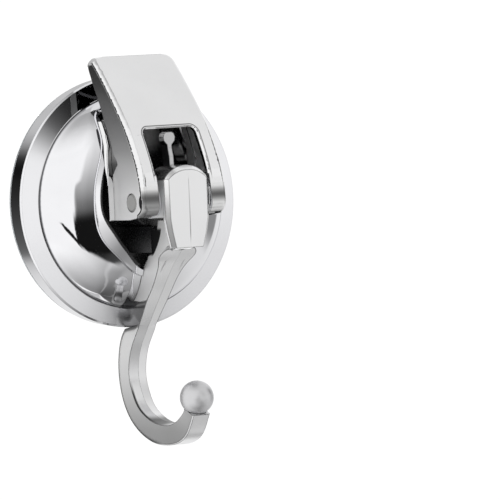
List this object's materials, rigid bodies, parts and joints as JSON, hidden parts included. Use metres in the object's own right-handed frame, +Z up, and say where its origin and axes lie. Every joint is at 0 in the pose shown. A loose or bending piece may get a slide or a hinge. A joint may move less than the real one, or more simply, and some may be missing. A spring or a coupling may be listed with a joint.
{
  "type": "suction cup hook",
  "caption": "Lever-lock suction cup hook: round domed chrome cover on a flexible pad, fork-shaped locking lever on a cross pin, and a ball-tipped utility hook.",
  "frame": {"origin": "centre of the suction face, on the wall plane", "axes": "+Z up; +Y into the wall, so the hook faces -Y; +X to the right seen from the front"},
  "size_m": [0.07, 0.041, 0.1076],
  "materials": {
    "chrome_cover": "polished chrome plate",
    "chrome_lever": "polished chrome plate",
    "chrome_hook": "polished chrome plate",
    "black_plastic": "moulded black plastic",
    "clear_rubber": "translucent flexible pad",
    "white_nylon": "moulded nylon",
    "pin_steel": "turned steel",
    "spacer_nylon": "translucent nylon",
    "screw_steel": "zinc plated steel"
  },
  "bodies": {
    "base": {"suction_pad": "clear_rubber", "pull_stem": "white_nylon", "pivot_pin": "pin_steel", "spacer_left": "spacer_nylon", "spacer_right": "spacer_nylon"},
    "cover": {"cover": "chrome_cover", "inner_frame": "black_plastic", "hook": "chrome_hook", "hook_screw": "screw_steel"},
    "lever": {"lever": "chrome_lever"}
  },
  "joints": [
    {"name": "lever_swing", "type": "hinge", "parent": "base", "child": "lever", "pos_m": [0, -0.0302, 0], "axis": [1, 0, 0], "range_deg": [0, 95]},
    {"name": "cover_slide", "type": "slide", "parent": "base", "child": "cover", "axis": [0, -1, 0], "range_m": [0, 0.003]}
  ],
  "couplings": [
    {"joint": "lever_swing", "follows": "cover_slide", "rad_per_m": 552.6}
  ]
}
